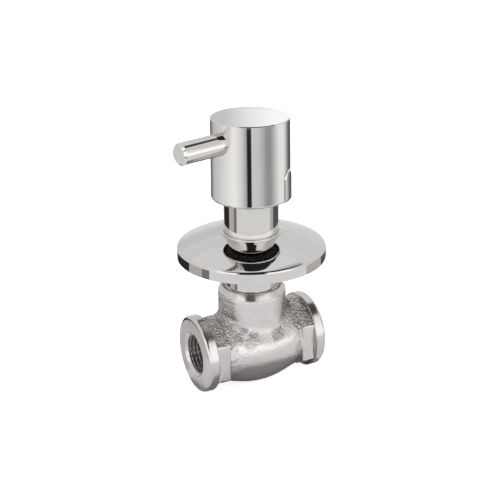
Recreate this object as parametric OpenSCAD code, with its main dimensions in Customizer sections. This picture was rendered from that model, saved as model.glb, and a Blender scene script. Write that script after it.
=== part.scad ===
// Concealed stop valve with a quarter-turn headwork, a long sleeve, a wall flange and a lever knob.
// The pipe runs along +X and the spindle along +Z. The origin lies on the pipe's axis, where the
// thread of the inlet port starts. Millimetres.

/* [Cast body] */
// Length from one end face to the other
body_length = 62.4; // [58:0.2:68]
// Radius of the belly at its middle
globe_r = 19.5; // [18.5:0.1:20.5]
// Diameter of the belly where it meets the hexagons
barrel_d = 31; // [29:0.2:31.6]
// Width across the flats of the hexagon collars
hex_flats = 32; // [31.6:0.1:32.4]
// Width of each hexagon collar along the pipe
hex_w = 6.8; // [6:0.1:7.2]
// Diameter of the turned rims at the ends
rim_d = 37; // [36.6:0.1:38]
// Width of each rim
rim_w = 5.2; // [4.4:0.1:6]
// Diameter of the neck
neck_d = 32.4; // [31:0.1:34]
// Height of the neck's top above the pipe's axis
neck_top = 31; // [30:0.1:33]

/* [Ports and passages] */
// Tapping diameter of the half-inch pipe thread
port_d = 18.64; // [18.6:0.01:18.7]
// Diameter of the countersink at the face
mouth_d = 21.8; // [21.2:0.1:22.4]
// Depth of the countersink
mouth_depth = 1.2; // [1:0.1:1.4]
// Length of the thread in each port
port_depth = 14; // [12:0.1:14.4]
// Diameter of the water passages
passage_d = 7.4; // [6:0.1:7.4]
// Height of a passage's axis above or below the pipe's axis
passage_rise = 5.5; // [5.3:0.1:5.6]

/* [Handle] */
// Diameter of the knob at its top
knob_d = 36; // [34:0.2:40]
// How much wider the knob's radius is at its lower edge
knob_draft = 0.4; // [0:0.1:0.6]
// Height of the knob's lower edge
knob_bottom = 74.4; // [74:0.1:75]
// Height of the knob's top
knob_top = 112; // [111.5:0.1:116]
// Diameter of the lever pin
lever_d = 10; // [8:0.1:11]
// Distance of the lever's tip from the spindle's axis
lever_reach = 40.6; // [34:0.1:46]
// Height of the lever's axis
lever_z = 102.7; // [102:0.1:104]
// Direction of the lever, from +X
lever_turn = 194.5; // [180:0.5:210]
// Direction of the screw cover, from +X
cover_turn = 311.5; // [300:0.5:340]
// Width of the screw cover
cover_w = 7.8; // [7.6:0.1:10]
// Height of the screw cover's arched top
cover_top = 89.3; // [89.2:0.1:91]

/* [Sleeve and wall flange] */
// Diameter of the sleeve
sleeve_d = 25.6; // [25.4:0.1:25.8]
// Wall of the sleeve
sleeve_wall = 1.6; // [1.4:0.1:1.6]
// Height of the sleeve's top
sleeve_top = 79; // [78.8:0.1:79.2]
// Diameter of the wall flange
flange_d = 70; // [60:1:76]
// Height of the flange's lower edge, which meets the wall
flange_edge = 45.5; // [45.5:0.1:46]
// Height of the flange from its lower edge to its plate's rim
flange_h = 5.5; // [5.4:0.1:6]
// Thickness of the flange's sheet
flange_sheet = 1; // [0.8:0.1:1]

/* [Headwork] */
// Radius of the spindle
spindle_r = 3.96; // [3.93:0.01:3.96]
// Radius of the bores that the spindle, and its rings, turn in
spindle_bore_r = 4.02; // [4.01:0.01:4.02]
// Radius of the extension rod
rod_r = 5.5; // [5:0.1:5.6]
// Width across the flats of the housing's hexagon
housing_flats = 19; // [17:0.5:19]
// Turn of the handle from one stop to the other
quarter = 90; // [80:1:100]

/* [Hidden] */
$fn = 96;
slack = 0.05;
running = 0.06;
spindle_x = body_length / 2 - mouth_depth;
half_length = body_length / 2;
port_end = half_length - mouth_depth - port_depth;
hex_end = half_length - rim_w;
hex_start = hex_end - hex_w;
rim_round = 0.8;
face_round = 1.8;
neck_r = neck_d / 2;
neck_chamfer = 1.8;
neck_chamfer_h = 2.7;
floor_z = 1.8;
seat_r = 4.5;
lower_chamber_r = 8;
lower_chamber_z = -15;
chamber_r = 11.5;
chamber_top = 12.5;
shoulder_z = 22;
washer_t = 1;
sleeve_r = sleeve_d / 2;
sleeve_bore_r = sleeve_r - sleeve_wall;
socket_r = 13.1;

seal_top = 3.6;
disc_t = 2.2;
disc_gap = 0.05;
disc_r = 7.9;
moving_disc_z = seal_top + disc_t + disc_gap;
moving_disc_top = moving_disc_z + disc_t;
slot_depth = 1;
slot_w = 3.2;
slot_length = 11.4;
skirt_bore_r = 8.05;
skirt_r = 8.9;
cavity_top = 13.2;
thrust_t = 0.55;
shoulder_r = 6.2;
shoulder_bottom = 11.2;
shoulder_top = cavity_top - thrust_t - disc_gap;
stem_r = 7;
stem_top = 38;
crown_h = 2.5;
crown_bore_r = 5.8;
hex_bottom = shoulder_z + washer_t + 1.2;
hex_top = 29;
lug_angle = 30;
stop_gap_angle = 2.7;
collar_z = stem_top + 0.3;
collar_t = 2;
collar_r = 5.4;
clip_z = stem_top + crown_h + 0.25;
clip_t = 0.7;
groove_r = 2.88;
groove_w = 1.6;
ring_wire = 0.53;
ring_heights = [17, 20.5];

joint_z = 42;
spindle_top = 50;
rod_socket_r = 6.5;
rod_socket_top = 54;
grub_z = 46;
tail_r = 4.5;
tail_z = 80.8;
tail_top = 104;

knob_r = knob_d / 2;
knob_foot_r = knob_r + knob_draft;
knob_mouth_r = 16.4;
knob_mouth_top = 81.2;
knob_bore_r = 8;
knob_bore_top = 109;
insert_bottom = 81.6;
insert_top = 106;
lever_r = lever_d / 2;
lever_seat = 16.2;
lever_stud_r = 3;
lever_stud_start = 10;
knob_screw_z = cover_top - cover_w / 2;
knob_screw_r = 2.9;
cover_proud = 0.6;
cover_depth = 0.9;
cover_start = knob_r - cover_depth;

flange_r = flange_d / 2;
plate_z = flange_edge + flange_h;
dome = 6;
edge_round = 1.7;
flange_bore_r = sleeve_r + 0.07;
lip_r = 13.9;
lip_round = 0.3;
lip_top = plate_z + dome + 0.8;
bush_z = plate_z - 0.6;
bush_h = 3.6;
foam_in = 28;
foam_out = 33.4;

module at_spindle(z = 0) {
    translate([spindle_x, 0, z]) children();
}

// Points of an arc about [x, y], from one angle to another
function arc(x, y, r, from, to, steps = 8) =
    [for (i = [0 : steps]) [x + r * cos(from + (to - from) * i / steps),
                            y + r * sin(from + (to - from) * i / steps)]];

// A ring between two radii and two heights, about the spindle
module ring(inner, outer, low, high) {
    at_spindle(low) difference() {
        cylinder(r = outer, h = high - low);
        translate([0, 0, -1]) cylinder(r = inner, h = high - low + 2);
    }
}

// A round rubber ring about the spindle
module rubber_ring(middle, wire, z) {
    at_spindle(z) rotate_extrude() translate([middle, 0]) circle(r = wire, $fn = 32);
}

// Stands its children, drawn along +Z, along +X at one side of the spindle's axis
module along_pipe(side) {
    at_spindle() rotate([0, 90 * side, 0]) children();
}

// Lays its children, drawn along +Z, out from the spindle's axis at a turn and a height
module radial(turn, z) {
    at_spindle(z) rotate([0, 0, turn]) rotate([0, 90, 0]) children();
}

// A flat slice of a circle, from the direction +X round by the angle
module slice(radius, angle) {
    polygon(concat([[0, 0]], arc(0, 0, radius, 0, angle, 12)));
}

// The belly swells from the hexagons to the middle as a cosine curve
module belly() {
    steps = 32;
    rotate([0, 90, 0]) rotate_extrude() polygon(concat(
        [[0, -hex_start]],
        [for (i = [0 : steps]) let (x = hex_start * (2 * i / steps - 1))
            [barrel_d / 2 + (globe_r - barrel_d / 2) * cos(90 * x / hex_start), x]],
        [[0, hex_start]]));
}

module body_end(side) {
    along_pipe(side) {
        translate([0, 0, hex_start - 1]) cylinder(d = barrel_d, h = 2);
        translate([0, 0, hex_start])
            cylinder(d = hex_flats / cos(30), h = hex_w + 0.5, $fn = 6);
        rotate_extrude() polygon(concat(
            [[0, hex_end], [rim_d / 2 - rim_round, hex_end]],
            arc(rim_d / 2 - rim_round, hex_end + rim_round, rim_round, -90, 0),
            arc(rim_d / 2 - face_round, half_length - face_round, face_round, 0, 90),
            [[0, half_length]]));
    }
}

module port(side) {
    along_pipe(side) {
        translate([0, 0, port_end]) cylinder(d = port_d, h = port_depth + mouth_depth + 1);
        translate([0, 0, half_length - mouth_depth])
            cylinder(d1 = port_d, d2 = mouth_d, h = mouth_depth);
        translate([0, 0, half_length]) cylinder(d = mouth_d, h = 1);
    }
}

module passage(side) {
    at_spindle(side * passage_rise) rotate([0, 90 * side, 0])
        cylinder(d = passage_d, h = port_end + 0.5);
}

module valve_body() {
    color("silver") difference() {
        union() {
            at_spindle() belly();
            body_end(-1);
            body_end(1);
            at_spindle() rotate_extrude() polygon([
                [0, 0], [neck_r, 0], [neck_r, neck_top - neck_chamfer_h],
                [neck_r - neck_chamfer, neck_top], [0, neck_top]]);
        }
        port(-1);
        port(1);
        passage(-1);
        passage(1);
        at_spindle(lower_chamber_z) cylinder(r = lower_chamber_r, h = -floor_z - lower_chamber_z);
        at_spindle(-floor_z - 1) cylinder(r = seat_r, h = 2 * floor_z + 2);
        at_spindle(floor_z) cylinder(r = chamber_r, h = chamber_top - floor_z);
        at_spindle(chamber_top - 1) cylinder(d = port_d, h = shoulder_z - chamber_top + 2);
        at_spindle(shoulder_z) cylinder(r = socket_r, h = neck_top - shoulder_z + 1);
    }
}

module seat_seal() {
    color("black") ring(seat_r + 0.8, disc_r + 0.1, floor_z, seal_top);
}

// A ceramic disc with two slots for the water, opposite each other
module disc(radius, low, turn) {
    at_spindle(low) difference() {
        cylinder(r = radius, h = disc_t);
        for (half = [0, 180])
            rotate([0, 0, turn + half - 32]) translate([0, 0, -1])
                linear_extrude(disc_t + 2) difference() {
                    slice(5.4, 64);
                    circle(r = 2, $fn = 32);
                }
    }
}

module fixed_disc() {
    color("white") disc(disc_r, seal_top, 0);
}

module moving_disc() {
    color("white") difference() {
        disc(disc_r - 0.2, moving_disc_z, quarter);
        at_spindle(moving_disc_top - slot_depth)
            translate([-slot_length / 2, -slot_w / 2, 0]) cube([slot_length, slot_w, slot_depth + 1]);
    }
}

module cartridge_housing() {
    notch = quarter + lug_angle + 2 * stop_gap_angle;
    color("goldenrod") difference() {
        union() {
            at_spindle() rotate_extrude() polygon([
                [spindle_bore_r, cavity_top], [skirt_bore_r, cavity_top], [skirt_bore_r, seal_top],
                [skirt_r, seal_top], [skirt_r, chamber_top], [port_d / 2 - 0.02, chamber_top + 0.5],
                [port_d / 2 - 0.02, shoulder_z + 0.5], [9.3, shoulder_z + washer_t],
                [11.1, shoulder_z + washer_t], [11.1, hex_bottom], [stem_r, hex_bottom],
                [stem_r, stem_top + crown_h], [crown_bore_r, stem_top + crown_h],
                [crown_bore_r, stem_top], [spindle_bore_r, stem_top]]);
            at_spindle(hex_bottom - 0.5) difference() {
                cylinder(d = housing_flats / cos(30), h = hex_top - hex_bottom + 0.5, $fn = 6);
                translate([0, 0, -1]) cylinder(r = stem_r - 1, h = 10);
            }
        }
        for (turn = [0, 180])
            at_spindle(9.4) rotate([0, 0, turn]) translate([4, -4.5, 0]) cube([8, 9, 2.6]);
        at_spindle(stem_top) rotate([0, 0, lever_turn - lug_angle / 2 - stop_gap_angle])
            linear_extrude(crown_h + 1) slice(12, notch);
    }
}

module housing_washer() {
    color("dimgray") ring(port_d / 2 + slack, 11.1, shoulder_z, shoulder_z + washer_t);
}

module thrust_washer() {
    color("ivory") ring(spindle_bore_r + 0.3, 7.6, cavity_top - thrust_t, cavity_top);
}

module spindle() {
    color("goldenrod") difference() {
        union() {
            at_spindle(moving_disc_top - slot_depth + slack) translate([-5.5, -1.5, 0])
                cube([11, 3, slot_depth + 0.5]);
            at_spindle(moving_disc_top + slack) intersection() {
                cylinder(r = 6.6, h = shoulder_bottom - moving_disc_top);
                translate([-7, -2.5, 0]) cube([14, 5, 5]);
            }
            at_spindle(shoulder_bottom) cylinder(r = shoulder_r, h = shoulder_top - shoulder_bottom);
            at_spindle(shoulder_bottom) cylinder(r = spindle_r, h = spindle_top - shoulder_bottom);
        }
        for (z = ring_heights)
            ring(groove_r, spindle_r + 1, z - groove_w / 2, z + groove_w / 2);
        ring(3.3, spindle_r + 1, clip_z - slack, clip_z + clip_t + slack);
        for (i = [0 : 11])
            at_spindle(joint_z + 1) rotate([0, 0, 30 * i + 15]) translate([spindle_r + 0.15, 0, 0])
                cylinder(r = 0.5, h = 10, $fn = 24);
    }
}

module lower_o_ring() {
    color("black") rubber_ring(groove_r + 0.02 + ring_wire, ring_wire, ring_heights[0]);
}

module upper_o_ring() {
    color("black") rubber_ring(groove_r + 0.02 + ring_wire, ring_wire, ring_heights[1]);
}

module stop_collar() {
    color("goldenrod") at_spindle(collar_z) linear_extrude(collar_t) difference() {
        union() {
            circle(r = collar_r);
            rotate([0, 0, lever_turn - lug_angle / 2]) slice(stem_r - 0.2, lug_angle);
        }
        circle(r = spindle_r + 0.04);
    }
}

module circlip() {
    color("slategray") at_spindle(clip_z) linear_extrude(clip_t) difference() {
        circle(r = 5);
        circle(r = 3.35);
        rotate([0, 0, -40]) slice(8, 80);
    }
}

module sleeve_washer() {
    color("black") ring(11.5, socket_r - slack, shoulder_z, shoulder_z + washer_t);
}

module sleeve() {
    color("lightgray") difference() {
        union() {
            ring(sleeve_bore_r, sleeve_r, shoulder_z + washer_t, sleeve_top);
            ring(sleeve_bore_r, socket_r - slack, shoulder_z + washer_t, neck_top);
        }
        for (turn = [90, 270])
            radial(turn, sleeve_top - 1.5) translate([-1.6, -1.5, 9]) cube([3.2, 3, 6]);
    }
}

module extension_rod() {
    color("goldenrod") difference() {
        union() {
            at_spindle(joint_z) cylinder(r = rod_socket_r, h = rod_socket_top - joint_z);
            at_spindle(joint_z) cylinder(r = rod_r, h = tail_z - joint_z);
            at_spindle(joint_z) cylinder(r = tail_r, h = tail_top - joint_z);
        }
        at_spindle(joint_z - 1) cylinder(r = spindle_bore_r, h = spindle_top + 1.5 - joint_z);
        radial(90, grub_z) cylinder(r = 2.02, h = 10, $fn = 32);
        at_spindle(tail_top - 10) cylinder(r = 1.65, h = 11, $fn = 32);
        for (i = [0 : 11])
            at_spindle(tail_z + 1) rotate([0, 0, 30 * i + 15]) translate([tail_r + 0.15, 0, 0])
                cylinder(r = 0.5, h = 24, $fn = 24);
    }
}

// A headless screw from start to end, drawn along +Z, with a hexagon socket in its outer end
module headless_screw(radius, start, end, key) {
    difference() {
        translate([0, 0, start]) cylinder(r = radius, h = end - start, $fn = 32);
        translate([0, 0, end - 1.4]) cylinder(d = key / cos(30), h = 2, $fn = 6);
    }
}

module extension_screw() {
    color("dimgray") radial(90, grub_z) headless_screw(1.98, spindle_r + 0.1, rod_socket_r - 0.1, 2);
}

module extension_guide() {
    color("ivory") {
        difference() {
            union() {
                ring(rod_r + running, sleeve_bore_r - slack, sleeve_top - 5, sleeve_top + 0.2);
                ring(rod_r + running, sleeve_r - 0.2, sleeve_top, sleeve_top + 1);
            }
            for (i = [0 : 5])
                at_spindle(sleeve_top - 6) rotate([0, 0, 60 * i]) translate([8.4, 0, 0])
                    cylinder(r = 1.5, h = 8, $fn = 32);
        }
    }
}

// The height of the domed flange's outside at a radius: level at the lip, and steepest at the rim
function crown(r) = let (share = max(0, r - lip_r) / (flange_r - 0.4 - lip_r))
    plate_z + dome * (1 - 0.92 * pow(share, 1.4) - 0.08 * pow(share, 6));

module wall_flange() {
    crown_end = flange_r - edge_round * (1 - cos(64));
    edge_z = crown(crown_end) - edge_round * sin(64);
    inner_end = crown_end - 0.8;
    color("lightgray") at_spindle() rotate_extrude() polygon(concat(
        [[flange_bore_r, plate_z + dome - flange_sheet], [flange_bore_r, lip_top]],
        arc(lip_r - lip_round, lip_top - lip_round, lip_round, 90, 0, 6),
        [for (i = [0 : 15]) let (r = lip_r + (crown_end - lip_r) * i / 16) [r, crown(r)]],
        arc(flange_r - edge_round, edge_z, edge_round, 64, 0, 8),
        [[flange_r, flange_edge], [flange_r - flange_sheet, flange_edge]],
        arc(flange_r - edge_round, edge_z, edge_round - flange_sheet, 0, 64, 6),
        [for (i = [16 : -1 : 1]) let (r = lip_r + (inner_end - lip_r) * i / 16)
            [r, crown(r) - flange_sheet]]));
}

module flange_bush() {
    color("ivory") {
        ring(sleeve_r + running, 17, bush_z, bush_z + bush_h);
        ring(15.2, 17, bush_z, crown(17) - flange_sheet - 0.06);
    }
}

module flange_o_ring() {
    color("black") rubber_ring(sleeve_r + slack + 0.9, 0.9, plate_z + dome - flange_sheet - 1);
}

module wall_seal() {
    color("dimgray") ring(foam_in, foam_out, flange_edge + 0.3, plate_z - 1.7);
}

// The arched outline of the screw cover, standing on the knob's lower edge
module cover_outline(grow) {
    radial(cover_turn, 0) linear_extrude(knob_r + 5) union() {
        translate([-(cover_top - cover_w / 2), 0]) circle(r = cover_w / 2 + grow);
        translate([-(cover_top - cover_w / 2), -cover_w / 2 - grow])
            square([cover_top - cover_w / 2 - knob_bottom + 0.01, cover_w + 2 * grow]);
    }
}

module knob() {
    color("lightgray") difference() {
        at_spindle() rotate_extrude() polygon(concat(
            [[knob_mouth_r, knob_bottom]],
            arc(knob_foot_r - 1, knob_bottom + 1, 1, -90, 0, 6),
            [[knob_r, knob_top - 0.3], [knob_r - 0.3, knob_top], [0, knob_top], [0, knob_bore_top],
             [knob_bore_r, knob_bore_top], [knob_bore_r, knob_mouth_top],
             [knob_mouth_r, knob_mouth_top]]));
        radial(lever_turn, lever_z) {
            translate([0, 0, lever_seat]) cylinder(r = lever_r + slack, h = 10);
            translate([0, 0, lever_stud_start - 0.5]) cylinder(r = lever_stud_r, h = 10);
        }
        radial(cover_turn, knob_screw_z) translate([0, 0, 4]) cylinder(r = knob_screw_r, h = 20);
        intersection() {
            cover_outline(slack);
            ring(cover_start - slack, knob_foot_r + 3, knob_bottom - 1, knob_top);
        }
    }
}

module knob_glide_ring() {
    color("black") ring(sleeve_r + running, knob_mouth_r - slack, knob_bottom + 1.4, knob_bottom + 4);
}

module knob_insert() {
    color("ivory") difference() {
        at_spindle(insert_bottom) cylinder(r = knob_bore_r - slack, h = insert_top - insert_bottom);
        at_spindle(insert_bottom - 1) cylinder(r = tail_r + slack, h = tail_top + slack - insert_bottom + 1);
        at_spindle(insert_bottom) cylinder(r = 2.1, h = 30, $fn = 32);
    }
}

module insert_screw() {
    color("dimgray") at_spindle() difference() {
        union() {
            translate([0, 0, tail_top - 8]) cylinder(r = 1.6, h = 10.5, $fn = 32);
            translate([0, 0, insert_top]) cylinder(r = 3.6, h = 2.4, $fn = 48);
        }
        translate([0, 0, insert_top + 1]) cylinder(d = 2.5 / cos(30), h = 2, $fn = 6);
    }
}

module knob_grub_screw() {
    color("dimgray") radial(cover_turn, knob_screw_z)
        headless_screw(knob_screw_r - 0.04, knob_bore_r - 0.02, cover_start - 2, 3);
}

module lever() {
    color("lightgray") radial(lever_turn, lever_z) {
        rotate_extrude() polygon([
            [0, lever_stud_start], [lever_stud_r - 0.04, lever_stud_start],
            [lever_stud_r - 0.04, lever_seat], [lever_r, lever_seat],
            [lever_r, lever_reach - 1], [lever_r - 1, lever_reach], [0, lever_reach]]);
    }
}

module screw_cover() {
    color("lightgray") intersection() {
        cover_outline(0);
        at_spindle() rotate_extrude() polygon([
            [cover_start, knob_bottom], [knob_foot_r + cover_proud, knob_bottom],
            [knob_r + cover_proud, knob_top], [cover_start, knob_top]]);
    }
}

valve_body();
seat_seal();
fixed_disc();
moving_disc();
cartridge_housing();
housing_washer();
thrust_washer();
spindle();
lower_o_ring();
upper_o_ring();
stop_collar();
circlip();
sleeve_washer();
sleeve();
extension_rod();
extension_screw();
extension_guide();
wall_flange();
flange_bush();
flange_o_ring();
wall_seal();
knob();
knob_glide_ring();
knob_insert();
insert_screw();
knob_grub_screw();
lever();
screw_cover();
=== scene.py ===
# Concealed stop valve: a chromed cast body with half-inch ports, a sleeve, a sliding wall flange and a
# lever knob, on a pale floor in a soft studio. Lengths in this script are millimetres unless they say
# otherwise, and every mesh is turned to metres as it is made.
import math

import bmesh
import bpy
import numpy as np
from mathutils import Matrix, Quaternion, Vector


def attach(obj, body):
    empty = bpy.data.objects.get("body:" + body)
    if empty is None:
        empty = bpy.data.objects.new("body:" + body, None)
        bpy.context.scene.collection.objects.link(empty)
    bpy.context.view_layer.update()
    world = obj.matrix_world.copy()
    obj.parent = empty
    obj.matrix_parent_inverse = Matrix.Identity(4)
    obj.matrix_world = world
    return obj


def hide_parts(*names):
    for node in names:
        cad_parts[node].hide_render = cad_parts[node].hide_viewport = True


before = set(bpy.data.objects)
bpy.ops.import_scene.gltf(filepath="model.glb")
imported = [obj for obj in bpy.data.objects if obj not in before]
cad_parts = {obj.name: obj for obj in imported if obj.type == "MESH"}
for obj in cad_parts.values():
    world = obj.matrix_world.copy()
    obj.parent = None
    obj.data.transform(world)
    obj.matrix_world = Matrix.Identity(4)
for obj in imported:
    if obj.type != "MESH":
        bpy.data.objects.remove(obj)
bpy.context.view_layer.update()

MM = 0.001

# Sizes of the real valve
SPINDLE_X = 30.0
HALF_LENGTH = 31.2
PORT_END = 16.0
HEX_START = 19.2
HEX_END = 26.0
HEX_FLATS = 32.0
RIM_R = 18.5
BELLY_R = 19.5
BARREL_R = 15.5
NECK_R = 16.2
NECK_TOP = 31.0
NECK_LIP = 28.0
NECK_CHAMFER = 1.8
NECK_CHAMFER_H = 2.7
SHOULDER_Z = 22.0
SOCKET_R = 13.1
TAPPING_R = 9.32
MOUTH_R = 10.9
MOUTH_DEPTH = 1.2
THREAD_PITCH = 1.814
THREAD_DEPTH = 1.162
PASSAGE_R = 3.7
PASSAGE_RISE = 5.5
FLOOR_THICKNESS = 1.8
SEAT_R = 4.5
LOWER_CHAMBER_R = 8.0
LOWER_CHAMBER_Z = -15.0
CHAMBER_R = 11.5
CHAMBER_TOP = 12.5
LINER_R = 12.2

SLEEVE_R = 12.8
SLEEVE_BORE_R = 11.2
SLEEVE_BOTTOM = 23.0
SLEEVE_TOP = 79.0
FLANGE_R = 35.0
FLANGE_EDGE = 45.5
PLATE_Z = 51.0
PLATE_DOME = 6.0
EDGE_ROUND = 1.7
RIM_ARC = (64.0, 34.0)
SHEET = 1.0
FLANGE_BORE_R = 12.87
LIP_R = 13.9
LIP_TOP = 57.8

KNOB_R = 18.0
KNOB_FOOT_R = 18.4
KNOB_BOTTOM = 74.4
KNOB_TOP = 112.0
KNOB_MOUTH_R = 16.4
KNOB_MOUTH_TOP = 81.2
KNOB_BORE_R = 8.0
KNOB_BORE_TOP = 109.0
KNOB_CHAMFER = 0.34
# Above this height the knob's side is plain, clear of the screw cover
KNOB_PLAIN_Z = 92.0
LEVER_R = 5.0
LEVER_REACH = 40.6
LEVER_SEAT = 16.2
LEVER_Z = 102.7
LEVER_TURN = 194.5
LEVER_STUD_R = 2.96
LEVER_STUD_START = 10.0
COVER_TURN = 311.5
COVER_W = 7.8
COVER_TOP = 89.3
COVER_DEPTH = 0.9
COVER_PROUD = 0.6
# Half of the arc round the cover where the knob's grid is fine, in radians
COVER_REACH = 0.42

# The camera, fitted to the photograph
CAMERA_X = -165.2
CAMERA_Y = -387.2
CAMERA_Z = 228.5
CAMERA_AZIMUTH = -26.67
CAMERA_PITCH = 22.65
CAMERA_ROLL = 0.6
CAMERA_LENS = 72.0

# How finely the surfaces are worked out: points round a turned one, the casting's grid, and the angle
# from which two of its faces meet in an edge
AROUND = 192
CAST_STEP = 0.44
CAST_SHARP = 75.0
FLOOR_Z = -BELLY_R


# Meshes

def grid_piece(name, points, material, body, closed, nodes):
    """A mesh from a grid of points, in millimetres about the spindle's axis. The grid's first direction
    goes all the way round. Its second is a profile, which closed joins up; otherwise its ends lie on an
    axis, where the rows shrink to poles."""
    rows, columns = points.shape[:2]
    i, j = np.meshgrid(np.arange(rows), np.arange(columns if closed else columns - 1), indexing="ij")
    after_i, after_j = (i + 1) % rows, (j + 1) % columns
    quads = np.stack([i * columns + j, after_i * columns + j,
                      after_i * columns + after_j, i * columns + after_j], -1).reshape(-1, 4)
    faces_piece(name, points.reshape(-1, 3), quads, material, body, nodes)


def faces_piece(name, points, faces, material, body, nodes, sharp=40.0):
    """A mesh from points in millimetres about the spindle's axis and faces of four corners. Edges that
    turn by more than sharp degrees are shaded as edges."""
    mesh = bpy.data.meshes.new(name)
    placed = (points + np.array([SPINDLE_X, 0, 0])) * MM
    mesh.from_pydata(placed.tolist(), [], faces.tolist())
    clean = bmesh.new()
    clean.from_mesh(mesh)
    bmesh.ops.remove_doubles(clean, verts=clean.verts, dist=1e-7)
    bmesh.ops.dissolve_degenerate(clean, edges=clean.edges, dist=1e-8)
    bmesh.ops.recalc_face_normals(clean, faces=clean.faces)
    clean.to_mesh(mesh)
    clean.free()
    mesh.shade_smooth()
    mesh.set_sharp_from_angle(angle=math.radians(sharp))
    piece = bpy.data.objects.new(name, mesh)
    bpy.context.scene.collection.objects.link(piece)
    mesh.materials.append(material)
    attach(piece, body)
    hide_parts(*nodes)
    return piece


def outline(corners, guard=0.03, steps=7):
    """The points of a profile with rounded corners. Each corner is (x, y, radius): an arc of that radius,
    tangent to both sides, takes its place, with a guard point just before and after it that keeps the
    flat sides flat in the shading."""
    made = []
    count = len(corners)
    for k, (x, y, radius) in enumerate(corners):
        here = np.array([x, y], float)
        if radius == 0 or k in (0, count - 1):
            made.append(here[None])
            continue
        before = np.array(corners[k - 1][:2], float) - here
        after = np.array(corners[k + 1][:2], float) - here
        before /= np.linalg.norm(before)
        after /= np.linalg.norm(after)
        half = math.acos(np.clip(before @ after, -1, 1)) / 2
        reach = radius / math.tan(half)
        middle = here + (before + after) / np.linalg.norm(before + after) * radius / math.sin(half)
        start, end = here + before * reach - middle, here + after * reach - middle
        span = math.pi - 2 * half
        t = np.linspace(0, 1, steps)[:, None]
        arc = middle + (np.sin((1 - t) * span) * start + np.sin(t * span) * end) / math.sin(span)
        made += [here[None] + before * (reach + guard), arc, here[None] + after * (reach + guard)]
    return np.vstack(made)


def turned(profile, steps=AROUND):
    """A profile of (radius, height) turned about the spindle's axis: grid[angle, point]."""
    angle = np.linspace(0, 2 * np.pi, steps, endpoint=False)[:, None]
    r, z = profile[:, 0][None], profile[:, 1][None]
    return np.stack([r * np.cos(angle), r * np.sin(angle), z + 0 * angle], -1)


def to_radial(points, turn, height):
    """Lays a shape turned about +Z so that its axis points out from the spindle at a turn and a
    height."""
    a = math.radians(turn)
    out = np.array([math.cos(a), math.sin(a), 0.0])
    side = np.array([-math.sin(a), math.cos(a), 0.0])
    up = np.array([0.0, 0.0, 1.0])
    return (points[..., 0:1] * side + points[..., 1:2] * up + points[..., 2:3] * out
            + np.array([0, 0, height]))


def to_pipe(points, side):
    """Lays a shape turned about +Z along the pipe, towards the inlet (-1) or the outlet (1)."""
    x, y, z = points[..., 0], points[..., 1], points[..., 2]
    return np.stack([z * side, y * side, -x], -1)


def smooth_step(x, low, high):
    """0 at low, 1 at high, and a smooth change between."""
    t = np.clip((x - low) / (high - low), 0, 1)
    return t * t * (3 - 2 * t)


def grain(points, size, seed):
    """Random heights from -1 to 1 on a lattice of the given size, blended smoothly between its
    corners."""
    lattice = np.random.default_rng(seed).random((48, 48, 48)) * 2 - 1
    place = points / size
    cell = np.floor(place).astype(int)
    t = place - cell
    t = t * t * t * (t * (t * 6 - 15) + 10)
    total = 0
    for dx in (0, 1):
        for dy in (0, 1):
            for dz in (0, 1):
                corner = (cell + [dx, dy, dz]) % 48
                weight = (np.abs(1 - dx - t[..., 0]) * np.abs(1 - dy - t[..., 1])
                          * np.abs(1 - dz - t[..., 2]))
                total = total + weight * lattice[corner[..., 0], corner[..., 1], corner[..., 2]]
    return total


# The cast body's shape

def soft_min(a, b, k):
    """The lower of two heights, with a blend of width k where they meet, which casts a fillet."""
    h = np.clip(0.5 + 0.5 * (b - a) / k, 0, 1)
    return b * (1 - h) + a * h - k * h * (1 - h)


def soft_max(a, b, k):
    """The higher of two heights, with the same blend, which rounds an edge."""
    return -soft_min(-a, -b, k)


def belly_radius(along):
    """The belly's radius at a distance from its middle: a cosine between the hexagons."""
    return BARREL_R + (BELLY_R - BARREL_R) * np.cos(np.pi / 2 * np.clip(along / HEX_START, 0, 1))


def sand_marks(points):
    """How strongly the mould's sand shows, from 0 to 1. It is left in the crease round the neck's foot, in
    patches on the belly's shoulders and on the hexagons' sloping sides, which no tool reached. The neck,
    the lower belly and the hexagons' upright flats were linished."""
    x, y, z = points[..., 0], points[..., 1], points[..., 2]
    along = np.abs(x)
    crease = np.sqrt(np.maximum(belly_radius(along) ** 2 - y ** 2, 0))
    on_neck = smooth_step(np.hypot(x, y) - NECK_R, 2.5, 0.5)
    neck_fade = 1 - on_neck * smooth_step(z - crease, 0.5, 3.5)
    patches = smooth_step(grain(points, 3.5, 17), -0.5, 0.5)
    open_side = smooth_step(np.hypot(x, y) - NECK_R, 2.0, 7.0)
    shoulder = smooth_step(z + 1.6 * grain(points, 5.0, 11), 5.0, 8.0) * neck_fade
    shoulder = shoulder * (1 - 0.75 * open_side * (1 - 0.5 * patches)) * (0.45 + 0.55 * patches)
    ends = smooth_step(along, HEX_START - 0.8, HEX_START + 0.3)
    slopes = ends * smooth_step(np.abs(z), 8.8, 9.8)
    under = smooth_step(along, 13, 17) * (1 - smooth_step(along, 18.7, 19.3)) * 0.35
    return np.clip(np.maximum.reduce([shoulder * (1 - ends), slopes, under]) + 0.06, 0, 1)


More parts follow.
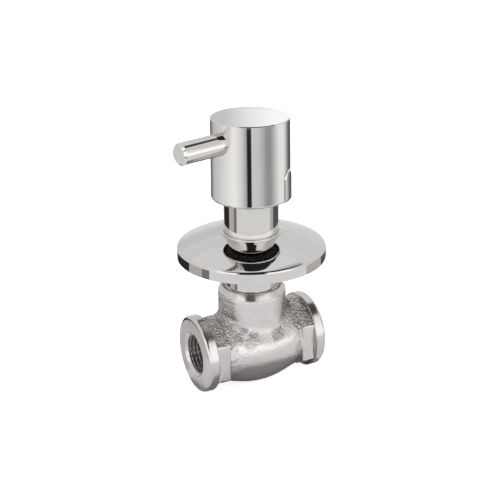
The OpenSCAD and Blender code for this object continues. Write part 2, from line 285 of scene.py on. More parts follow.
def casting_field(points):
    """Negative inside the casting. The belly swells as a cosine between the hexagons, the neck rises from
    it through a fillet, two hexagon prisms close its ends, and the chambers, passages and seats for the
    turned parts are taken out."""
    x, y, z = points[..., 0], points[..., 1], points[..., 2]
    along = np.abs(x)
    about_pipe = np.hypot(y, z)
    about_spindle = np.hypot(x, y)
    belly = np.maximum(about_pipe - belly_radius(along), along - HEX_END + 0.5)
    neck = np.maximum(about_spindle - NECK_R, np.maximum(z - NECK_LIP, -z))
    cast = soft_min(belly, neck, 2.6)
    flats = [np.abs(y * math.cos(a) + z * math.sin(a)) - HEX_FLATS / 2
             for a in np.radians([0, 60, 120])]
    prism = soft_max(soft_max(flats[0], flats[1], 0.5), flats[2], 0.5)
    ends = np.maximum(along - HEX_END, HEX_START - along)
    cast = soft_min(cast, soft_max(prism, ends, 0.5), 0.6)
    marks = sand_marks(points)
    cast = cast - marks * (0.2 * grain(points, 1.5, 3) + 0.13 * grain(points, 0.8, 5))
    cast = cast - 0.07 * grain(points, 7.0, 7)
    ports = np.maximum(about_pipe - LINER_R, PORT_END - 0.6 - along)
    way_in = np.maximum(np.hypot(y, z + PASSAGE_RISE) - PASSAGE_R, np.maximum(x, -PORT_END - x))
    way_out = np.maximum(np.hypot(y, z - PASSAGE_RISE) - PASSAGE_R, np.maximum(-x, x - PORT_END))
    lower = np.maximum(about_spindle - LOWER_CHAMBER_R,
                       np.maximum(z + FLOOR_THICKNESS, LOWER_CHAMBER_Z - z))
    seat = np.maximum(about_spindle - SEAT_R, np.abs(z) - FLOOR_THICKNESS - 1)
    chamber = np.maximum(about_spindle - CHAMBER_R,
                         np.maximum(z - CHAMBER_TOP, FLOOR_THICKNESS - z))
    tapped = np.maximum(about_spindle - TAPPING_R - 1.2, CHAMBER_TOP - 1 - z)
    socket = np.maximum(about_spindle - SOCKET_R - 1.2, SHOULDER_Z - 1 - z)
    hollow = np.minimum.reduce([ports, way_in, way_out, lower, seat, chamber, tapped, socket])
    return np.maximum(cast, -hollow)


def surface_net(field, low, high, step):
    """The surface where a field is zero, as points and faces of four corners. Each cell of the grid that
    the surface crosses gets one point, the mean of the crossings on its twelve edges, and each grid edge
    that it crosses gets a face between the four cells round it. Two steps down the field's slope then
    bring the points onto the surface."""
    axes = [np.arange(low[k], high[k] + step, step) for k in range(3)]
    at = np.stack(np.meshgrid(*axes, indexing="ij"), -1)
    value = field(at)
    inside = value < 0
    corners = np.array([[i, j, k] for i in (0, 1) for j in (0, 1) for k in (0, 1)])
    cells = tuple(n - 1 for n in inside.shape)
    count = sum(inside[i:i + cells[0], j:j + cells[1], k:k + cells[2]].astype(int)
                for i, j, k in corners)
    mixed = np.argwhere((count > 0) & (count < 8))
    index = np.full(cells, -1)
    index[tuple(mixed.T)] = np.arange(len(mixed))
    values = np.stack([value[tuple((mixed + c).T)] for c in corners], 1)
    total, hits = np.zeros((len(mixed), 3)), np.zeros((len(mixed), 1))
    for a in range(8):
        for b in range(a + 1, 8):
            if np.abs(corners[a] - corners[b]).sum() != 1:
                continue
            va, vb = values[:, a:a + 1], values[:, b:b + 1]
            crossed = (va < 0) != (vb < 0)
            t = np.where(crossed, va / np.where(crossed, va - vb, 1), 0)
            total += crossed * (corners[a] + t * (corners[b] - corners[a]))
            hits += crossed
    points = np.array([axis[0] for axis in axes]) + (mixed + total / hits) * step
    faces = []
    for k in range(3):
        u, v = (k + 1) % 3, (k + 2) % 3
        first = [slice(0, n - 1) if m == k else slice(1, n - 1) for m, n in enumerate(inside.shape)]
        second = list(first)
        second[k] = slice(1, inside.shape[k])
        a, b = inside[tuple(first)], inside[tuple(second)]
        where = np.argwhere(a != b) + np.array([0 if m == k else 1 for m in range(3)])
        outward = a[a != b]
        eu, ev = np.eye(3, dtype=int)[u], np.eye(3, dtype=int)[v]
        ring = np.stack([index[tuple(w.T)] for w in (where - eu - ev, where - ev, where, where - eu)], 1)
        faces.append(np.where(outward[:, None], ring, ring[:, ::-1]))
    for _ in range(2):
        here = field(points)
        slope = np.stack([field(points + step * 0.1 * e) - here for e in np.eye(3)], 1) / (step * 0.1)
        move = here[:, None] * slope / np.maximum((slope ** 2).sum(1, keepdims=True), 0.25)
        points = points - np.clip(move, -0.4 * step, 0.4 * step)
    return points, np.vstack(faces)


# Node helper and colours

def node(tree, kind, inputs=None, **settings):
    """Adds a node with its settings. inputs gives each socket a value, or another node's output."""
    made = tree.nodes.new(kind)
    for name, value in settings.items():
        setattr(made, name, value)
    for socket, value in (inputs or {}).items():
        if isinstance(value, bpy.types.NodeSocket):
            tree.links.new(value, made.inputs[socket])
        else:
            made.inputs[socket].default_value = value
    return made


def linear(hex_colour):
    """An sRGB hex colour as linear red, green, blue and alpha."""
    parts = [int(hex_colour[k:k + 2], 16) / 255 for k in (1, 3, 5)]
    return [c / 12.92 if c <= 0.04045 else ((c + 0.055) / 1.055) ** 2.4 for c in parts] + [1.0]


def per_metre(size_mm):
    """The scale of a noise whose cells are that many millimetres wide."""
    return 1 / (size_mm * MM)


def wave_scale(size_mm):
    """The scale of a wave that repeats every so many millimetres: the node turns 20 radians in a unit."""
    return 2 * math.pi / 20 * per_metre(size_mm)


def surface(name, **values):
    """A new material with a Principled shader, and the socket of the object's own coordinates."""
    material = bpy.data.materials.new(name)
    material.use_nodes = True
    tree = material.node_tree
    tree.nodes.clear()
    shader = node(tree, "ShaderNodeBsdfPrincipled", values)
    node(tree, "ShaderNodeOutputMaterial", {"Surface": shader.outputs["BSDF"]})
    place = node(tree, "ShaderNodeTexCoord").outputs["Object"]
    return material, tree, shader, place


def noise(tree, place, size_mm, detail=3.0, roughness=0.55):
    """The height, about 0.3 to 0.7, of a noise with cells of the given size."""
    return node(tree, "ShaderNodeTexNoise",
                {"Vector": place, "Scale": per_metre(size_mm), "Detail": detail,
                 "Roughness": roughness}).outputs["Fac"]


def spread(tree, value, low, high, from_low=0.3, from_high=0.7):
    """Carries a noise from its usual range to the given one."""
    return node(tree, "ShaderNodeMapRange",
                {"Value": value, "From Min": from_low, "From Max": from_high, "To Min": low,
                 "To Max": high}).outputs["Result"]


def bump(tree, height, strength, depth_mm, normal=None):
    """A relief of the given depth, laid over another relief when normal gives one."""
    inputs = {"Height": height, "Strength": strength, "Distance": depth_mm * MM}
    if normal is not None:
        inputs["Normal"] = normal
    return node(tree, "ShaderNodeBump", inputs).outputs["Normal"]


def mixed(tree, share, first, second):
    """A colour between two, each a hex colour or another node's output."""
    made = node(tree, "ShaderNodeMix", {"Factor": share}, data_type="RGBA")
    ends = [socket for socket in made.inputs if socket.type == "RGBA"]
    for socket, value in zip(ends, (first, second)):
        if isinstance(value, str):
            socket.default_value = linear(value)
        else:
            tree.links.new(value, socket)
    return [socket for socket in made.outputs if socket.type == "RGBA"][0]


def mix_colour(tree, shader, value, dark, light):
    """Gives a shader a colour that wanders between two hex colours, by a noise."""
    tree.links.new(mixed(tree, spread(tree, value, 0, 1), dark, light), shader.inputs["Base Color"])


# Materials

def polished_chrome_plate():
    """Bright chrome plate over polished brass: a mirror of about 60 per cent, with a faint haze and
    hairlines from polishing."""
    material, tree, shader, place = surface("polished_chrome_plate", Metallic=1.0)
    haze = noise(tree, place, 9.0)
    tree.links.new(spread(tree, haze, 0.012, 0.035), shader.inputs["Roughness"])
    mix_colour(tree, shader, noise(tree, place, 14.0), "#CAC8C6", "#CECCCA")
    stretch = node(tree, "ShaderNodeMapping", {"Vector": place, "Scale": (1, 1, 12)}).outputs["Vector"]
    hairlines = noise(tree, stretch, 2.5, detail=5.0)
    tree.links.new(bump(tree, hairlines, 0.02, 0.01), shader.inputs["Normal"])
    return material


def turned_chrome_plate():
    """Chrome plate over a lathe-turned face: bright, a little blurred by the fine rings of the tool, with
    a faint waviness."""
    material, tree, shader, place = surface("turned_chrome_plate", Metallic=1.0)
    tree.links.new(spread(tree, noise(tree, place, 3.0), 0.15, 0.25), shader.inputs["Roughness"])
    mix_colour(tree, shader, noise(tree, place, 5.0), "#BDB9B8", "#CBC8C7")
    centred = node(tree, "ShaderNodeMapping",
                   {"Vector": place, "Location": (-SPINDLE_X * MM, 0, 0)}).outputs["Vector"]
    # The tool's feed is about 0.1 mm, finer than a pixel, so the rings are drawn 3.14 mm apart
    rings = node(tree, "ShaderNodeTexWave", {"Vector": centred, "Scale": wave_scale(3.14),
                                             "Distortion": 0.6, "Detail": 2.0},
                 wave_type="RINGS", rings_direction="X").outputs["Fac"]
    fine = bump(tree, rings, 0.06, 0.02)
    tree.links.new(bump(tree, noise(tree, place, 2.2), 0.06, 0.06, fine), shader.inputs["Normal"])
    return material


def cast_chrome_plate():
    """Chrome plate straight over a sand-cast skin: where the sand shows, the mirror breaks up into bright
    and dark grains, with the pits darkened to a dark grey as painted shade, and where the casting was
    linished, it is soft, light and faintly pitted."""
    material, tree, shader, place = surface("cast_chrome_plate", Metallic=1.0)
    sand = node(tree, "ShaderNodeAttribute", attribute_name="sand").outputs["Fac"]
    coarse = noise(tree, place, 1.4, detail=4.0, roughness=0.6)
    fine = noise(tree, place, 0.5, detail=2.0, roughness=0.6)
    tree.links.new(spread(tree, sand, 0.24, 0.1, 0, 1), shader.inputs["Roughness"])
    # The sand's grains are about 0.3 mm wide, finer than a pixel, so the noises are coarser than they are
    hollows = spread(tree, fine, 1.0, 0.0, 0.36, 0.5)
    # Painted shade: where the sand shows, the noise's hollows are darkened towards a dark grey
    shaded_pits = node(tree, "ShaderNodeMath", {0: sand, 1: hollows}, operation="MULTIPLY").outputs["Value"]
    skin = mixed(tree, noise(tree, place, 2.4, detail=4.0), "#C4C0BF", "#DAD6D5")
    tree.links.new(mixed(tree, shaded_pits, skin, "#6A6665"), shader.inputs["Base Color"])
    rough = bump(tree, coarse, spread(tree, sand, 0.04, 1.0, 0, 1), 2.1)
    grains = bump(tree, fine, spread(tree, sand, 0.1, 0.7, 0, 1), 0.25, rough)
    tree.links.new(grains, shader.inputs["Normal"])
    return material


def turned_brass():
    """Free-cutting brass as it leaves the lathe: yellow, with feed marks and a little tarnish."""
    material, tree, shader, place = surface("turned_brass", Metallic=1.0)
    tree.links.new(spread(tree, noise(tree, place, 2.0), 0.22, 0.36), shader.inputs["Roughness"])
    mix_colour(tree, shader, noise(tree, place, 3.0), "#B08A45", "#D9B464")
    # The feed is about 0.1 mm, finer than a pixel, so its marks are drawn 2.5 mm apart
    feed = node(tree, "ShaderNodeTexWave", {"Vector": place, "Scale": wave_scale(2.5), "Distortion": 1.0},
                wave_type="BANDS", bands_direction="Z").outputs["Fac"]
    tree.links.new(bump(tree, feed, 0.15, 0.02), shader.inputs["Normal"])
    return material


def plain_steel():
    """Stainless steel of small screws and clips: grey, finely brushed."""
    material, tree, shader, place = surface("stainless_steel", Metallic=1.0)
    tree.links.new(spread(tree, noise(tree, place, 0.8), 0.28, 0.42), shader.inputs["Roughness"])
    mix_colour(tree, shader, noise(tree, place, 1.5), "#85868A", "#A9AAAC")
    tree.links.new(bump(tree, noise(tree, place, 0.3), 0.1, 0.02), shader.inputs["Normal"])
    return material


def soft_material(name, dark, light, speck_mm, rough_low, rough_high, dent, dent_mm):
    """A non-metal that varies between two colours, with a fine relief: rubber, foam, nylon or ceramic."""
    material, tree, shader, place = surface(name, Metallic=0.0)
    tree.links.new(spread(tree, noise(tree, place, speck_mm * 3), rough_low, rough_high),
                   shader.inputs["Roughness"])
    mix_colour(tree, shader, noise(tree, place, speck_mm), dark, light)
    tree.links.new(bump(tree, noise(tree, place, speck_mm), dent, dent_mm), shader.inputs["Normal"])
    return material


polished = polished_chrome_plate()
machined = turned_chrome_plate()
cast = cast_chrome_plate()
brass = turned_brass()
steel = plain_steel()
# Moulded nitrile rubber: black, matt, with a trace of bloom
rubber = soft_material("nitrile_rubber", "#141414", "#222221", 0.9, 0.5, 0.7, 0.2, 0.03)
# Closed-cell polyethylene foam: dark grey, with its cells showing
foam = soft_material("closed_cell_foam", "#2B2B2D", "#454547", 0.6, 0.8, 0.95, 0.7, 0.25)
# Natural nylon, injection moulded: milky, with a soft sheen
nylon = soft_material("natural_nylon", "#DAD5C6", "#EAE6DA", 2.5, 0.35, 0.5, 0.1, 0.03)
# Black nylon, injection moulded, with a soft sheen
black_nylon = soft_material("black_nylon", "#0E0E0E", "#191918", 2.5, 0.45, 0.6, 0.1, 0.03)
# Lapped alumina ceramic: white, hard and nearly polished
alumina = soft_material("lapped_alumina", "#E6E5DF", "#F2F1ED", 1.2, 0.12, 0.22, 0.05, 0.01)


# Pieces of the valve

def cast_body():
    """The casting: the surface where casting_field is zero. Its vertices keep how strongly the sand shows
    there, for the material."""
    low = np.array([-HEX_END - 0.6, -BELLY_R - 0.9, -BELLY_R - 0.9])
    high = np.array([HEX_END + 0.6, BELLY_R + 0.9, NECK_LIP + 0.6])
    points, faces = surface_net(casting_field, low, high, CAST_STEP)
    piece = faces_piece("body_casting", points, faces, cast, "valve", ["valve_body"],
                        CAST_SHARP)
    mesh = piece.data
    place = np.zeros(len(mesh.vertices) * 3, np.float32)
    mesh.vertices.foreach_get("co", place)
    place = place.reshape(-1, 3) / MM - np.array([SPINDLE_X, 0, 0])
    layer = mesh.attributes.new("sand", "FLOAT", "POINT")
    layer.data.foreach_set("value", sand_marks(place).astype(np.float32))


def threaded_end(side, name):
    """A turned rim with its countersunk mouth and pipe thread. The profile runs round the section
    once, and along the bore each point's radius follows the thread's wave, which climbs one pitch for
    each turn."""
    rim_start = HEX_END - 0.3
    bore_start = HALF_LENGTH - MOUTH_DEPTH
    outer = outline([(LINER_R, PORT_END - 0.6, 0), (LINER_R, rim_start, 0), (RIM_R, rim_start, 0.7),
                     (RIM_R, HALF_LENGTH, 1.8), (MOUTH_R, HALF_LENGTH, 0.2),
                     (TAPPING_R + 0.3, bore_start - 0.1, 0)])
    bore = np.linspace(bore_start - 0.1, PORT_END, 170)
    inner = np.stack([np.full_like(bore, TAPPING_R), bore], 1)
    close = np.array([[TAPPING_R, PORT_END - 0.6]])
    grid = turned(np.vstack([outer, inner, close]))
    angle = np.linspace(0, 2 * np.pi, AROUND, endpoint=False)[:, None]
    phase = (bore[None] / THREAD_PITCH - angle / (2 * np.pi)) % 1
    crest = 0.5 - 0.5 * np.cos(2 * np.pi * phase)
    runout = smooth_step(bore, PORT_END, PORT_END + 1.5)[None]
    radius = TAPPING_R + THREAD_DEPTH * smooth_step(crest, 0.12, 0.88) * runout
    threaded = slice(len(outer), len(outer) + len(bore))
    grid[:, threaded, 0] = radius * np.cos(angle)
    grid[:, threaded, 1] = radius * np.sin(angle)
    grid_piece(name, to_pipe(grid, side), machined, "valve", True, ["valve_body"])


def port_floor(side, name):
    """The drilled end of a port: a disc with the water passage through it, from a ring that slides from
    the passage's circle out to the bore's circle."""
    t = np.linspace(0, 1, 12)[None, :, None]
    angle = np.linspace(0, 2 * np.pi, AROUND, endpoint=False)[:, None]
    circle = np.stack([np.cos(angle), np.sin(angle)], -1)
    hole = PASSAGE_R * circle + np.array([-PASSAGE_RISE * side, 0])
    flat = hole * (1 - t) + TAPPING_R * circle * t
    front = np.concatenate([flat, np.full(flat.shape[:2] + (1,), PORT_END + 0.02)], -1)
    back = np.concatenate([flat[:, ::-1], np.full(flat.shape[:2] + (1,), PORT_END - 0.5)], -1)
    grid_piece(name, to_pipe(np.concatenate([front, back], 1), side), machined, "valve", True,
               ["valve_body"])


def neck_lip():
    """The turned mouth of the neck, with its chamfer and the socket for the sleeve, and below it the bored
    seat for the headwork: two closed profiles turned about the spindle."""
    outside = NECK_R - 0.1
    outer_wall = SOCKET_R + 1.3
    profile = outline([(outer_wall, SHOULDER_Z, 0), (outer_wall, NECK_LIP - 0.2, 0),
                       (outside, NECK_LIP - 0.2, 0.1), (outside, NECK_TOP - NECK_CHAMFER_H, 0.3),
                       (NECK_R - NECK_CHAMFER, NECK_TOP, 0.25), (SOCKET_R + 0.3, NECK_TOP, 0.1),
                       (SOCKET_R, NECK_TOP - 0.35, 0.1), (SOCKET_R, SHOULDER_Z, 0)])
    grid_piece("neck_lip", turned(profile), machined, "valve", True, ["valve_body"])
    seat = outline([(outer_wall, SHOULDER_Z, 0), (TAPPING_R, SHOULDER_Z, 0), (TAPPING_R, CHAMBER_TOP, 0),
                    (TAPPING_R + 1.3, CHAMBER_TOP, 0), (TAPPING_R + 1.3, SHOULDER_Z - 1, 0),
                    (outer_wall, SHOULDER_Z - 1, 0)])
    grid_piece("headwork_seat", turned(seat), machined, "valve", True, ["valve_body"])


def sleeve_tube():
    """A tube turned about the spindle, a little wider where it screws into the neck."""
    foot_r = SLEEVE_R + 0.25
    profile = outline([(foot_r, SLEEVE_BOTTOM, 0), (foot_r, NECK_TOP - 0.1, 0.1),
                       (SLEEVE_R, NECK_TOP + 0.2, 0.1), (SLEEVE_R, SLEEVE_TOP, 0.3),
                       (SLEEVE_BORE_R, SLEEVE_TOP, 0.2), (SLEEVE_BORE_R, SLEEVE_BOTTOM, 0)])
    grid_piece("sleeve_tube", turned(profile), polished, "valve", True, ["sleeve"])


def crown(r):
    """The height of the domed plate's outside: level at the lip, falling as the power 1.4 of the share of
    the way out, and for a twelfth of it as the power 6, so that it is steepest at the rim."""
    share = (r - LIP_R) / (FLANGE_R - 0.4 - LIP_R)
    return PLATE_Z + PLATE_DOME * (1 - 0.92 * share ** 1.4 - 0.08 * share ** 6)


def flange_shell():
    """A pressed, domed plate with a low lip round its bore, a rounded rim and a straight skirt, as one
    closed profile turned about the spindle. The rounding is a part of a circle, between the two angles of
    RIM_ARC, and a fine corner leads on to the skirt."""
    steep, shallow = np.radians(RIM_ARC)
    end = FLANGE_R - EDGE_ROUND * (1 - np.cos(steep))
    share = np.linspace(0, 1, 72)[1:-1] ** 1.3
    r = LIP_R + (end - LIP_R) * share
    inner = LIP_R + (end - 0.8 - LIP_R) * share[::-1]
    edge_z = crown(end) - EDGE_ROUND * np.sin(steep)
    turn = np.linspace(steep, shallow, 14)
    plate_top = PLATE_Z + PLATE_DOME
    lip = outline([(FLANGE_BORE_R, plate_top - SHEET, 0), (FLANGE_BORE_R, LIP_TOP, 0.12),
                   (LIP_R, LIP_TOP, 0.3), (LIP_R, plate_top, 0)])
    plate = np.stack([r, crown(r)], 1)
    edge = np.stack([FLANGE_R + EDGE_ROUND * (np.cos(turn) - 1), edge_z + EDGE_ROUND * np.sin(turn)], 1)
    corner = edge[-1, 1] - (FLANGE_R - edge[-1, 0]) / np.tan(shallow)
    skirt_r = FLANGE_R - SHEET
    foot = outline([tuple(edge[-1]) + (0,), (FLANGE_R, corner, 0.2), (FLANGE_R, FLANGE_EDGE, 0.25),
                    (skirt_r, FLANGE_EDGE, 0.25), (skirt_r, edge_z - 0.1, 0)])[1:]
    within, back = EDGE_ROUND - SHEET, turn[::-1]
    inside = np.stack([FLANGE_R - EDGE_ROUND + within * np.cos(back), edge_z + within * np.sin(back)], 1)
    underside = np.stack([inner, crown(inner) - SHEET], 1)
    profile = np.vstack([lip, plate, edge, foot, inside, underside])
    grid_piece("flange_shell", turned(profile, 256), polished, "flange", True, ["wall_flange"])


def arch(share):
    """The arched outline of the screw cover, as (across, height): a half circle on two upright sides with
    a level foot. The share shrinks it about a point near its middle, from 1 to 0."""
    half = COVER_W / 2
    centre = COVER_TOP - half
    around = np.linspace(0, np.pi, 48)
    up = np.linspace(KNOB_BOTTOM, centre, 24, endpoint=False)
    level = np.linspace(-half, half, 24)[1:-1]
    across = np.concatenate([np.full_like(up, half), half * np.cos(around), np.full_like(up, -half), level])
    height = np.concatenate([up, centre + half * np.sin(around), up[::-1],
                             np.full_like(level, KNOB_BOTTOM)])
    heart = np.array([0.0, (KNOB_BOTTOM + centre) / 2 + 1])
    return heart + share * (np.stack([across, height], -1) - heart)


def cover_distance(across, height):
    """How far a point of the knob's side lies outside the screw cover's outline, negative inside."""
    centre = COVER_TOP - COVER_W / 2
    return np.hypot(across, np.maximum(height - centre, 0)) - COVER_W / 2


def knob_side(height):
    """The knob's radius at a height: a straight line from its foot to its top."""
    return KNOB_R + (KNOB_FOOT_R - KNOB_R) * (KNOB_TOP - height) / (KNOB_TOP - KNOB_BOTTOM)


def knob_body():
    """A turned knob: a profile with a chamfered head, a rounded foot, a wide mouth and a blind bore, turned
    about the spindle. Where the screw cover sits, its side has a fine groove round the cover's outline."""
    foot = outline([(KNOB_MOUTH_R, KNOB_BOTTOM, 0), (KNOB_FOOT_R, KNOB_BOTTOM, 1.0),
                    (KNOB_R, KNOB_TOP, 0)])[1:-1]
    side_z = np.linspace(KNOB_BOTTOM + 1.1, KNOB_PLAIN_Z, 130)
    wall = np.stack([knob_side(side_z), side_z], 1)
    head = outline([(knob_side(KNOB_PLAIN_Z), KNOB_PLAIN_Z, 0), (KNOB_R, KNOB_TOP - KNOB_CHAMFER, 0.08),
                    (KNOB_R - KNOB_CHAMFER, KNOB_TOP, 0.08), (KNOB_R - 2.5, KNOB_TOP, 0)])
    r = np.linspace(KNOB_R - 2.5, 0, 20)[1:]
    face = np.stack([r, np.full_like(r, KNOB_TOP)], 1)
    hollow = outline([(0, KNOB_BORE_TOP, 0), (KNOB_BORE_R, KNOB_BORE_TOP, 0.2),
                      (KNOB_BORE_R, KNOB_MOUTH_TOP, 0.3), (KNOB_MOUTH_R, KNOB_MOUTH_TOP, 0.3),
                      (KNOB_MOUTH_R, KNOB_BOTTOM, 0)])
    profile = np.vstack([foot, wall, head, face, hollow])
    middle = np.radians(COVER_TURN)
    by_cover = middle + np.linspace(-COVER_REACH, COVER_REACH, 160)
    elsewhere = middle + np.linspace(COVER_REACH, 2 * np.pi - COVER_REACH, 180)[1:-1]
    angle = np.concatenate([by_cover, elsewhere])[:, None]
    radius, height = profile[:, 0][None], profile[:, 1][None]
    away = cover_distance((angle - middle) * KNOB_R, height)
    on_side = (radius > knob_side(height) - 0.01) & (np.abs(angle - middle) < COVER_REACH)
    groove = np.where(on_side, 0.45 * (1 - smooth_step(np.abs(away - 0.12), 0.05, 0.3)), 0)
    cut = radius - groove
    grid = np.stack([cut * np.cos(angle), cut * np.sin(angle), height + 0 * angle], -1)
    grid_piece("knob_body", grid, polished, "handle", False, ["knob"])


def cover_cap():
    """A cap on the knob's side: its arched outline shrinks towards its middle, and its height over the
    knob falls to the edge along a quarter round."""
    quarter = np.linspace(0.15, np.pi / 2, 9)
    share = np.concatenate([np.linspace(0.0, 0.86, 12), 0.86 + 0.14 * np.sin(quarter)])
    fall = np.concatenate([np.zeros(12), 1 - np.cos(quarter)])
    loops = np.stack([arch(s) for s in share], 1)
    rise = knob_side(loops[..., 1]) + COVER_PROUD - 0.75 * fall[None, :]
    inner = np.stack([arch(s) for s in (1.0, 0.5, 0.0)], 1)
    depth = np.full(inner.shape[:2], KNOB_R - COVER_DEPTH)
    loops, rise = np.concatenate([loops, inner], 1), np.concatenate([rise, depth], 1)
    angle = np.radians(COVER_TURN) + loops[..., 0] / KNOB_R
    grid = np.stack([rise * np.cos(angle), rise * np.sin(angle), loops[..., 1]], -1)
    grid_piece("cover_cap", grid, polished, "handle", False, ["screw_cover"])


def lever_pin():
    """A turned pin with a chamfered tip and a thinner stud, laid out from the spindle."""
    profile = outline([(0, LEVER_STUD_START, 0), (LEVER_STUD_R, LEVER_STUD_START, 0.3),
                       (LEVER_STUD_R, LEVER_SEAT, 0), (LEVER_R, LEVER_SEAT, 0.1),
                       (LEVER_R, LEVER_REACH - 1.0, 0.15), (LEVER_R - 1.0, LEVER_REACH, 0.15),
                       (0, LEVER_REACH, 0)])
    grid = to_radial(turned(profile, 128), LEVER_TURN, LEVER_Z)
    grid_piece("lever_pin", grid, polished, "handle", False, ["lever"])


cast_body()
threaded_end(-1, "inlet_rim")
threaded_end(1, "outlet_rim")
port_floor(-1, "inlet_floor")
port_floor(1, "outlet_floor")
neck_lip()
sleeve_tube()
flange_shell()
knob_body()
cover_cap()
lever_pin()

NODE_FINISH = {
    "seat_seal": rubber, "fixed_disc": alumina, "moving_disc": alumina, "cartridge_housing": brass,
    "housing_washer": rubber, "thrust_washer": nylon, "spindle": brass, "lower_o_ring": rubber,
    "upper_o_ring": rubber, "stop_collar": brass, "circlip": steel, "sleeve_washer": rubber,
    "extension_rod": brass, "extension_screw": steel, "extension_guide": nylon, "flange_bush": nylon,
    "flange_o_ring": rubber, "wall_seal": foam, "knob_glide_ring": black_nylon, "knob_insert": nylon,
    "insert_screw": steel, "knob_grub_screw": steel,
}
for name, finish in NODE_FINISH.items():
    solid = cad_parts[name]
    solid.data.materials.clear()
    solid.data.materials.append(finish)


# Floor, light and camera

TABLE_GLOW = 0.75
SOFT_LIGHT = 1.1
MIRROR_LIGHT = 1.62
SECTOR_STEPS = 72

# The studio's greys as polished chrome shows them, each with its angle to the right of the camera's side:
# the table far off, and then the bands of the room
TABLE = [(-179.9, "#C8C8C8"), (-172, "#C8C8C8"), (-164, "#606060"), (-150, "#606060"), (-140, "#8C8C8C"),
         (-128, "#B4B4B4"), (-102, "#C8C8C8"), (-64, "#E2E2E2"), (-48, "#EAEAEA"), (-35, "#DDDDDD"),
         (-23, "#C9C9C9"), (-14, "#A8A8A8"), (-10.4, "#969696"), (-9.4, "#242424"), (-0.1, "#242424"),
         (2, "#242424"), (3.4, "#C8C8C8"), (22, "#C3C3C3"), (34, "#B2B2B2"), (46, "#929292"),
         (59, "#929292"), (73, "#BCBCBC"), (88, "#E1E1E1"), (105, "#E5E5E5"), (118, "#C8C8C8"),
         (127, "#959595"), (136, "#606060"), (160, "#484848"), (168, "#C8C8C8"), (179.9, "#C8C8C8")]
HORIZON = [(-179.9, "#C4C4C4"), (-110, "#C4C4C4"), (-80, "#F6F6F6"), (-0.1, "#FFFFFF"), (86, "#FFFFFF"),
           (110, "#C4C4C4"), (179.9, "#C4C4C4")]
WALL = [(-179.9, "#C2C2C2"), (-174, "#BCBCBC"), (-90, "#C8C8C8"), (-60, "#F6F6F6"), (-0.1, "#FFFFFF"),
        (46, "#FFFFFF"), (72, "#FFFFFF"), (84, "#C4C4C4"), (150, "#C8C8C8"), (174, "#C4C4C4"),
        (179.9, "#C2C2C2")]
# What the flat top of the knob mirrors, a narrow band behind the valve
KNOB_TOP_WALL = [(-179.9, "#D6D6D6"), (-179.2, "#BEBEBE"), (-178.4, "#B8B8B8"), (-174, "#B8B8B8"),
                 (-90, "#C8C8C8"), (-60, "#F6F6F6"), (-0.1, "#FFFFFF"), (46, "#FFFFFF"), (72, "#FFFFFF"),
                 (84, "#C4C4C4"), (172, "#C8C8C8"), (177, "#EEEEEE"), (178.5, "#EDEDED"),
                 (179.3, "#E6E6E6"), (179.9, "#DEDEDE")]
HIGH_WALL = [(-179.9, "#C6C6C6"), (-90, "#C8C8C8"), (-62, "#D0D0D0"), (-54, "#FFFFFF"), (-28, "#FFFFFF"),
             (-22, "#242424"), (-0.1, "#242424"), (11, "#242424"), (16, "#FFFFFF"), (60, "#FFFFFF"),
             (70, "#D8D8D8"), (84, "#C8C8C8"), (179.9, "#C6C6C6")]
TOP_WALL = [(-179.9, "#CCCCCC"), (-90, "#D0D0D0"), (-60, "#E8E8E8"), (-28, "#FFFFFF"), (-20, "#242424"),
            (-0.1, "#242424"), (22, "#242424"), (30, "#FFFFFF"), (60, "#F4F4F4"), (84, "#C8C8C8"),
            (179.9, "#CCCCCC")]
CEILING = [(-179.9, "#CCCCCC"), (-70, "#D0D0D0"), (-50, "#282828"), (-0.1, "#242424"), (94, "#282828"),
           (132, "#404040"), (146, "#D0D0D0"), (179.9, "#CCCCCC")]
# Where each band starts and is full, as the sine of the height of view
ROOM = [(-0.25, -0.235, HORIZON), (0.12, 0.15, WALL), (0.245, 0.255, KNOB_TOP_WALL), (0.285, 0.3, WALL),
        (0.4, 0.43, HIGH_WALL), (0.62, 0.65, TOP_WALL), (0.745, 0.77, CEILING)]


def sector(name, angles, radii, height, material, seen_by_camera=False):
    """A level sheet that isn't part of the valve: a sector round the spindle, between two angles to the
    right of the camera's side and two radii."""
    steps = np.radians(np.linspace(*angles, SECTOR_STEPS + 1) + CAMERA_AZIMUTH)
    rows = [np.stack([SPINDLE_X + r * np.sin(steps), -r * np.cos(steps), np.full_like(steps, height)], -1)
            for r in radii]
    points = np.concatenate(rows) * MM
    i = np.arange(SECTOR_STEPS)
    faces = np.stack([i, i + SECTOR_STEPS + 1, i + SECTOR_STEPS + 2, i + 1], 1)
    mesh = bpy.data.meshes.new(name)
    mesh.from_pydata(points.tolist(), [], faces.tolist())
    mesh.materials.append(material)
    made = bpy.data.objects.new(name, mesh)
    bpy.context.scene.collection.objects.link(made)
    made.visible_camera = seen_by_camera
    made.visible_glossy = not seen_by_camera
    if not seen_by_camera:
        made.visible_diffuse = False
        made.visible_shadow = False


def floor():
    """A light table's opal acrylic: plain white, lit from below, so that it holds almost no shadow."""
    material, tree, shader, place = surface("opal_acrylic", Roughness=0.9)
    mix_colour(tree, shader, noise(tree, place, 60.0), "#F4F4F4", "#F8F8F8")
    shader.inputs["Emission Color"].default_value = (1, 1, 1, 1)
    shader.inputs["Emission Strength"].default_value = TABLE_GLOW
    sector("floor", (-180, 180), (0, 3000), FLOOR_Z, material, True)


def card_stock(name, dark, light):
    """Matt card, evenly coloured apart from its faint fibres."""
    material, tree, shader, place = surface(name, Roughness=1.0)
    mix_colour(tree, shader, noise(tree, place, 5.0), dark, light)
    shader.inputs["Specular IOR Level"].default_value = 0.0
    return material


